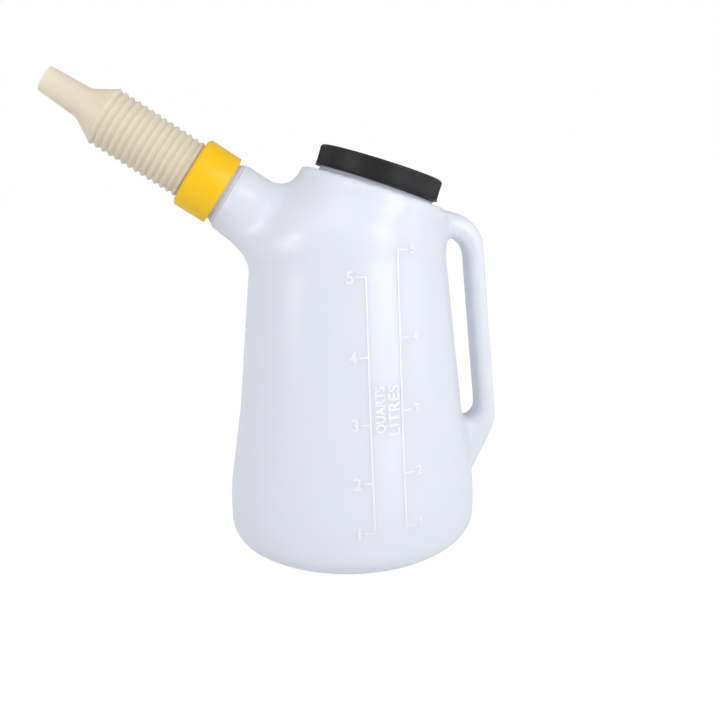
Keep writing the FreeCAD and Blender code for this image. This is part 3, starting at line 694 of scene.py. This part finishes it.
_, bead_reach, lid_low, lid_high = reach("mouth_lid", *MOUTH_RIM)
LID_HEIGHT = lid_high - lid_low
LID_RADIUS = bead_reach - BEAD_REACH
rounding = arc(LID_RADIUS - LID_EDGE, LID_HEIGHT - LID_EDGE, LID_EDGE, 0, 90, 6)
foot = arc(bead_reach - BEAD_HEIGHT / 2, BEAD_HEIGHT / 2, BEAD_HEIGHT / 2, -90, 90, 6)
inner = LID_RADIUS - LID_SKIRT
lid_outline = [(inner, 0.3 * MM), (inner + 0.3 * MM, 0)] + foot
lid_outline += [(LID_RADIUS, BEAD_HEIGHT + 0.15 * MM)] + rounding
lid_outline += [(0.0, LID_HEIGHT), (0.0, LID_HEIGHT - LID_TOP), (inner - 0.8 * MM, LID_HEIGHT - LID_TOP)]
lid_outline += [(inner, LID_HEIGHT - LID_TOP - 0.8 * MM)]
lid = turned("screw_lid", lid_outline, LID_SEGMENTS)

ribbing = bpy.data.node_groups.new("diamond_ribs", "GeometryNodeTree")
ribbing.is_modifier = True
for label in ("Radius", "Length", "Thickness", "Slant", "Count"):
    kind = "NodeSocketInt" if label == "Count" else "NodeSocketFloat"
    ribbing.interface.new_socket(label, in_out="INPUT", socket_type=kind)
ribbing.interface.new_socket("Material", in_out="INPUT", socket_type="NodeSocketMaterial")
ribbing.interface.new_socket("Geometry", in_out="OUTPUT", socket_type="NodeSocketGeometry")
given = ribbing.nodes.new("NodeGroupInput").outputs
both = ribbing.nodes.new("GeometryNodeJoinGeometry")
bar = add(
    ribbing, "GeometryNodeMeshCylinder", Vertices=4, Side_Segments=3, Radius=given["Thickness"],
    Depth=given["Length"],
)
for slant in (1.0, -1.0):
    round_lid = add(ribbing, "GeometryNodeMeshCircle", Vertices=given["Count"], Radius=given["Radius"])
    step = add(ribbing, "ShaderNodeMath", "DIVIDE", in_0=2 * pi, in_1=given["Count"]).outputs[0]
    index = ribbing.nodes.new("GeometryNodeInputIndex").outputs[0]
    angle = add(ribbing, "ShaderNodeMath", "MULTIPLY", in_0=index, in_1=step).outputs[0]
    tilt = add(ribbing, "ShaderNodeMath", "MULTIPLY", in_0=given["Slant"], in_1=slant).outputs[0]
    turn = add(ribbing, "ShaderNodeCombineXYZ", X=tilt, Z=angle).outputs[0]
    ribs = add(
        ribbing, "GeometryNodeInstanceOnPoints", Points=round_lid.outputs[0], Instance=bar.outputs[0], Rotation=turn,
    )
    ribbing.links.new(ribs.outputs[0], both.inputs[0])
real = add(ribbing, "GeometryNodeRealizeInstances", Geometry=both.outputs[0])
dressed = add(ribbing, "GeometryNodeSetMaterial", Geometry=real.outputs[0], Material=given["Material"])
ribbing.links.new(dressed.outputs[0], ribbing.nodes.new("NodeGroupOutput").inputs[0])

skirt = LID_HEIGHT - LID_EDGE - BEAD_HEIGHT
ribs = grown(
    "lid_ribs", ribbing, black, Radius=LID_RADIUS - RIB_SUNK, Length=skirt / cos(RIB_SLANT),
    Thickness=RIB_THICKNESS, Slant=RIB_SLANT, Count=RIB_COUNT,
)
ribs.data.transform(Matrix.Translation((0, 0, BEAD_HEIGHT + skirt / 2)))
for piece, angle in ((lid, 35), (ribs, 20)):
    stand(piece, MOUTH_RIM[0], MOUTH_RIM[1], lid_low)
    shade(piece, black, angle)
    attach(piece, "lid")
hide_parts("mouth_lid")
add_thread(
    "lid_thread", "lid", black, MOUTH_RIM, inner, bead=0.7 * MM, start=13.0 * MM, turns=1.5,
)

# --- Spout neck -------------------------------------------------------------------------------------
# The end of the jug's stub, moulded with it: the stub draws in over a rounded ledge and a shallow groove to a
# plain neck. The ring nut covers all but a strip of it.

NECK_WALL = 2.0 * MM
STUB_RADIUS = 25.2 * MM
neck_top = arc(SPOUT_NECK_RADIUS - 0.6 * MM, -0.6 * MM, 0.6 * MM, 0, 90, 3)
neck_top += arc(SPOUT_NECK_RADIUS - NECK_WALL + 0.6 * MM, -0.6 * MM, 0.6 * MM, 90, 180, 3)
neck_outline = [(STUB_RADIUS - 1.6 * MM, -STUB_TRIM - 2 * MM), (STUB_RADIUS - 0.1 * MM, -STUB_TRIM - 0.1 * MM)]
neck_outline += arc(STUB_RADIUS - 0.5 * MM, -STUB_TRIM + 0.6 * MM, 0.5 * MM, 0, 80, 4)
neck_outline += [(STUB_RADIUS - 1.1 * MM, -STUB_TRIM + 1.3 * MM), (STUB_RADIUS - 1.2 * MM, -STUB_TRIM + 2.8 * MM)]
neck_outline += [(SPOUT_NECK_RADIUS + 0.3 * MM, -STUB_TRIM + 4.0 * MM), (SPOUT_NECK_RADIUS, -STUB_TRIM + 4.6 * MM)]
neck_outline += neck_top
neck_outline += [(SPOUT_NECK_RADIUS - NECK_WALL, -STUB_TRIM + 3.6 * MM), (STUB_RADIUS - NECK_WALL, -STUB_TRIM)]
spout_neck = turned("spout_neck", neck_outline, LID_SEGMENTS)
stand(spout_neck, SPOUT_RIM[0], SPOUT_RIM[1], 0.0)
shade(spout_neck, milky, 40)
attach(spout_neck, "jug")

# --- Lid liner --------------------------------------------------------------------------------------
# A disc of closed foam inside the lid, which the lid presses on the rim of the mouth's neck. It keeps the
# form that it has in the frame.

FOAM = (0.66, 0.65, 0.61, 1)
FOAM_DEEP = (0.58, 0.57, 0.54, 1)

FOAM_SKIN = {"Skin Scale": 2600.0, "Cloud Scale": 60.0, "Roughness": 0.85, "Roughness Swing": 0.08}
foam = plastic("liner_foam", FOAM, FOAM_DEEP, FOAM_SKIN, 0.15 * MM, 0.3)
liner = frame["nodes"]["lid_liner"]
liner.data.materials.clear()
liner.data.materials.append(foam)

# --- Ring nut ---------------------------------------------------------------------------------------
# A yellow moulded ring that screws on the spout's neck and holds the hose's flange against its rim.

NUT_SEGMENTS = 120
NUT_WALL = 2.2 * MM
YELLOW = (1.0, 0.71, 0.004, 1)
YELLOW_DEEP = (1.0, 0.62, 0.003, 1)
YELLOW_THROUGH = (1.0, 0.52, 0.003, 1)

YELLOW_SKIN = {"Skin Scale": 700.0, "Cloud Scale": 26.0, "Roughness": 0.34, "Roughness Swing": 0.08}
yellow = plastic("yellow_nut_plastic", YELLOW, YELLOW_DEEP, YELLOW_SKIN, 0.04 * MM, 0.4, YELLOW_THROUGH, share=0.22)
hole, nut_reach, nut_low, nut_high = reach("spout_collar", *SPOUT_RIM)
nut_length = nut_high - nut_low
nut_inner = nut_reach - NUT_WALL
nut_outline = [(nut_inner, 0.4 * MM), (nut_inner + 0.4 * MM, 0.0)]
nut_outline += arc(nut_reach - 0.6 * MM, 0.6 * MM, 0.6 * MM, -90, 0, 4)
nut_outline += arc(nut_reach - 0.8 * MM, nut_length - 2.3 * MM, 0.8 * MM, 0, 60, 4)
nut_outline += arc(nut_reach - 3.3 * MM, nut_length - 0.5 * MM, 0.5 * MM, 60, 90, 3)
nut_outline += [(hole + 0.3 * MM, nut_length), (hole, nut_length - 0.3 * MM), (hole, nut_length - 4.2 * MM)]
nut_outline += [(nut_inner - 0.5 * MM, nut_length - 4.2 * MM), (nut_inner, nut_length - 4.7 * MM)]
nut = turned("ring_nut", nut_outline, NUT_SEGMENTS)
stand(nut, SPOUT_RIM[0], SPOUT_RIM[1], nut_low)
shade(nut, yellow, 35)
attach(nut, "collar")
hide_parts("spout_collar")
add_thread(
    "nut_thread", "collar", yellow, SPOUT_RIM, nut_inner, bead=0.9 * MM, start=20.0 * MM,
    turns=2.4,
)

# --- Flexible spout ---------------------------------------------------------------------------------
# One blown piece of soft cream plastic: a flange under the nut, a short cuff, a corrugated hose and a
# tapered nozzle.

HOSE_SEGMENTS = 96
STEPS_PER_RING = 10
HOSE_WALL = 1.2 * MM
RING_PITCH = 5.1 * MM
RING_COUNT = 14
HOSE_ROOT = 20.3 * MM
HOSE_CREST = 22.1 * MM
FLANGE = 2.4 * MM
CUFF = 4.0 * MM
CONE = 13.0 * MM
NOZZLE_ROOT = 11.5 * MM
NOZZLE_TIP = 9.5 * MM

HOSE_SKIN = {"Skin Scale": 600.0, "Cloud Scale": 30.0, "Roughness": 0.32, "Roughness Swing": 0.10}
# The hose's tone is its own cream pushed towards yellow: partly the plastic's colour, partly a painted yellow
# reflection of the ring nut.
HOSE = (0.87, 0.80, 0.67, 1)
HOSE_DEEP = (0.81, 0.74, 0.61, 1)
HOSE_THROUGH = (0.96, 0.94, 0.89, 1)
cream = plastic("hose_plastic", HOSE, HOSE_DEEP, HOSE_SKIN, 0.05 * MM, 0.5, HOSE_THROUGH, share=0.45)

corrugation = bpy.data.node_groups.new("corrugated_hose", "GeometryNodeTree")
corrugation.is_modifier = True
for label in ("Pitch", "Rings", "Root Radius", "Crest Radius"):
    kind = "NodeSocketInt" if label == "Rings" else "NodeSocketFloat"
    corrugation.interface.new_socket(label, in_out="INPUT", socket_type=kind)
corrugation.interface.new_socket("Material", in_out="INPUT", socket_type="NodeSocketMaterial")
corrugation.interface.new_socket("Geometry", in_out="OUTPUT", socket_type="NodeSocketGeometry")
given = corrugation.nodes.new("NodeGroupInput").outputs
length = add(corrugation, "ShaderNodeMath", "MULTIPLY", in_0=given["Pitch"], in_1=given["Rings"]).outputs[0]
stops = add(
    corrugation, "ShaderNodeMath", "MULTIPLY_ADD", in_0=given["Rings"], in_1=STEPS_PER_RING, in_2=1.0,
).outputs[0]
tube = add(
    corrugation, "GeometryNodeMeshCylinder", Vertices=HOSE_SEGMENTS, Side_Segments=stops, Radius=1.0, Depth=length,
)
tube.fill_type = "NONE"
where = corrugation.nodes.new("GeometryNodeInputPosition").outputs[0]
spot = add(corrugation, "ShaderNodeSeparateXYZ", Vector=where).outputs
half = add(corrugation, "ShaderNodeMath", "MULTIPLY", in_0=length, in_1=0.5).outputs[0]
rise = add(corrugation, "ShaderNodeMath", "ADD", in_0=spot["Z"], in_1=half).outputs[0]
turns = add(corrugation, "ShaderNodeMath", "DIVIDE", in_0=rise, in_1=given["Pitch"]).outputs[0]
phase = add(corrugation, "ShaderNodeMath", "MULTIPLY", in_0=turns, in_1=2 * pi).outputs[0]
wave = add(corrugation, "ShaderNodeMath", "COSINE", in_0=phase).outputs[0]
radius = add(
    corrugation, "ShaderNodeMapRange", in_0=wave, in_1=1.0, in_2=-1.0, in_3=given["Root Radius"],
    in_4=given["Crest Radius"],
).outputs[0]
wide_x = add(corrugation, "ShaderNodeMath", "MULTIPLY", in_0=spot["X"], in_1=radius).outputs[0]
wide_y = add(corrugation, "ShaderNodeMath", "MULTIPLY", in_0=spot["Y"], in_1=radius).outputs[0]
new_spot = add(corrugation, "ShaderNodeCombineXYZ", X=wide_x, Y=wide_y, Z=rise).outputs[0]
waved = add(corrugation, "GeometryNodeSetPosition", Geometry=tube.outputs[0], Position=new_spot)
real = add(corrugation, "GeometryNodeRealizeInstances", Geometry=waved.outputs[0])
dressed = add(corrugation, "GeometryNodeSetMaterial", Geometry=real.outputs[0], Material=given["Material"])
corrugation.links.new(dressed.outputs[0], corrugation.nodes.new("NodeGroupOutput").inputs[0])

hose = grown(
    "hose", corrugation, cream, Pitch=RING_PITCH, Rings=RING_COUNT, Root_Radius=HOSE_ROOT,
    Crest_Radius=HOSE_CREST,
)
_, flange_reach, hose_low, hose_high = reach("flexible_spout", *SPOUT_RIM)
hose_end = RING_PITCH * RING_COUNT
tip = hose_high - hose_low - FLANGE - CUFF
form = bmesh.new()
form.from_mesh(hose.data)
ends = [edge for edge in form.edges if edge.is_boundary]
outline_low = [(HOSE_ROOT, -CUFF), (flange_reach, -CUFF), (flange_reach, -CUFF - FLANGE)]
outline_high = [(HOSE_ROOT - 1.0 * MM, hose_end + 1.4 * MM)]
outline_high += [(NOZZLE_ROOT + 0.8 * MM, hose_end + CONE - 0.6 * MM)]
outline_high += [(NOZZLE_ROOT, hose_end + CONE + 1.2 * MM), (NOZZLE_TIP, tip)]
for outline, level in ((outline_low, 0.0), (outline_high, hose_end)):
    ring = [edge for edge in ends if abs(edge.verts[0].co.z - level) < 1e-5]
    for radius, z in outline:
        made = bmesh.ops.extrude_edge_only(form, edges=ring)["geom"]
        ring = [part for part in made if isinstance(part, bmesh.types.BMEdge)]
        for vertex in {v for edge in ring for v in edge.verts}:
            share = radius / vertex.co.xy.length
            vertex.co = (vertex.co.x * share, vertex.co.y * share, z)
bmesh.ops.recalc_face_normals(form, faces=form.faces)
form.to_mesh(hose.data)
form.free()
wall = hose.modifiers.new("wall", "SOLIDIFY")
wall.thickness = HOSE_WALL
wall.offset = -1
settle(hose)
stand(hose, SPOUT_RIM[0], SPOUT_RIM[1], hose_low + FLANGE + CUFF)
hose.name = "flexible_spout_hose"
shade(hose, cream, 50)
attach(hose, "pouring_spout")
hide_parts("flexible_spout")
